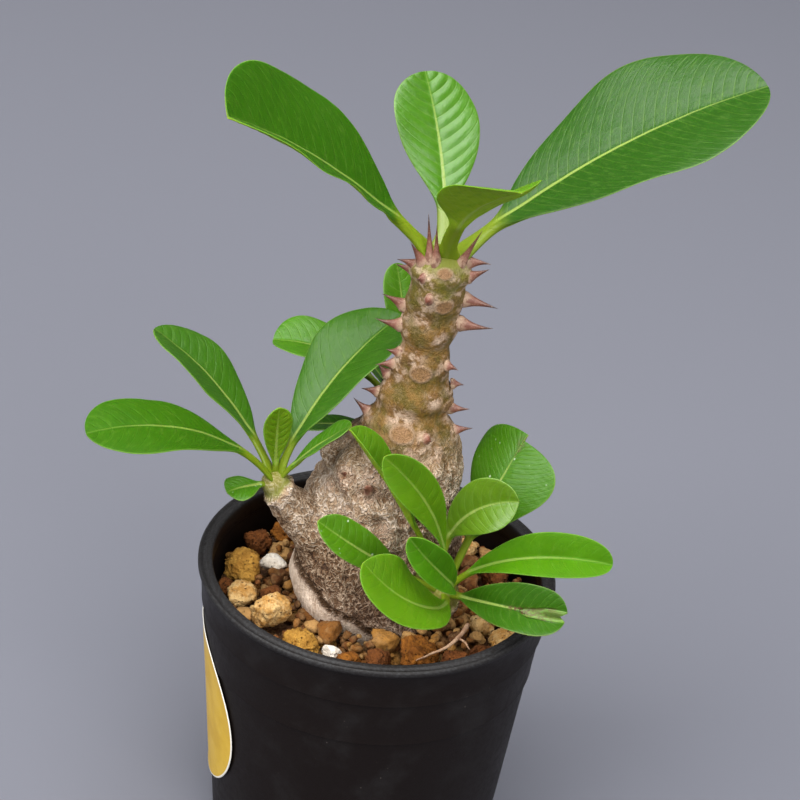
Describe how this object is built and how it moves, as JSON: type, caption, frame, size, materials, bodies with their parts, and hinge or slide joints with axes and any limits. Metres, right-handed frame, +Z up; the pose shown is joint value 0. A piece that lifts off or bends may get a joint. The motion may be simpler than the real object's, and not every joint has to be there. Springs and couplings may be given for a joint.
{
  "type": "potted pachypodium",
  "caption": "Small swollen-stemmed succulent with a spiny trunk, leafy side shoots and glossy oval leaves, growing in gravel in a round black nursery pot.",
  "frame": {"origin": "centre of the pot's flat underside, on the pot's axis", "axes": "+Z up along the pot's axis, -Y towards the side with the front shoot, +X to that side's right"},
  "size_m": [0.12, 0.0773, 0.1784],
  "materials": {
    "black_plastic": "satin",
    "label_yellow": "satin",
    "soil_mix": "matte",
    "stem_bark": "matte",
    "leaf_green": "satin",
    "dry_twig": "matte",
    "stone_ochre": "matte",
    "stone_tan": "matte",
    "stone_pumice": "matte",
    "stone_amber": "matte",
    "stone_russet": "matte"
  },
  "bodies": {
    "root": {"pot": "black_plastic", "label": "label_yellow", "soil": "soil_mix", "stem": "stem_bark", "twig": "dry_twig", "leaf_crown_large_left": "leaf_green", "leaf_crown_upright": "leaf_green", "leaf_crown_small_front": "leaf_green", "leaf_crown_large_right": "leaf_green", "leaf_left_large_left": "leaf_green", "leaf_left_upper_left": "leaf_green", "leaf_left_young": "leaf_green", "leaf_left_upper_right": "leaf_green", "leaf_left_small_right": "leaf_green", "leaf_left_small_low": "leaf_green", "leaf_back_upper_left": "leaf_green", "leaf_back_upright": "leaf_green", "leaf_back_dark": "leaf_green", "leaf_back_low_left": "leaf_green", "leaf_front_tall_left": "leaf_green", "leaf_front_folded_left": "leaf_green", "leaf_front_bright_right": "leaf_green", "leaf_front_notched": "leaf_green", "leaf_front_dark_fold": "leaf_green", "leaf_front_long_right": "leaf_green", "leaf_front_split_right": "leaf_green", "leaf_front_near": "leaf_green", "leaf_front_oblong_left": "leaf_green", "stone_01": "stone_ochre", "stone_02": "stone_pumice", "stone_03": "stone_tan", "stone_04": "stone_tan", "stone_05": "stone_ochre", "stone_06": "stone_pumice", "stone_07": "stone_amber", "stone_08": "stone_russet", "stone_09": "stone_amber", "stone_10": "stone_russet", "stone_11": "stone_russet", "stone_12": "stone_tan", "stone_13": "stone_ochre", "stone_14": "stone_tan", "stone_15": "stone_tan", "stone_16": "stone_ochre", "stone_17": "stone_russet", "stone_18": "stone_russet", "stone_19": "stone_russet", "stone_20": "stone_amber", "stone_21": "stone_russet", "stone_22": "stone_tan", "stone_23": "stone_amber", "stone_24": "stone_ochre", "stone_25": "stone_tan", "stone_26": "stone_russet"}
  },
  "joints": []
}
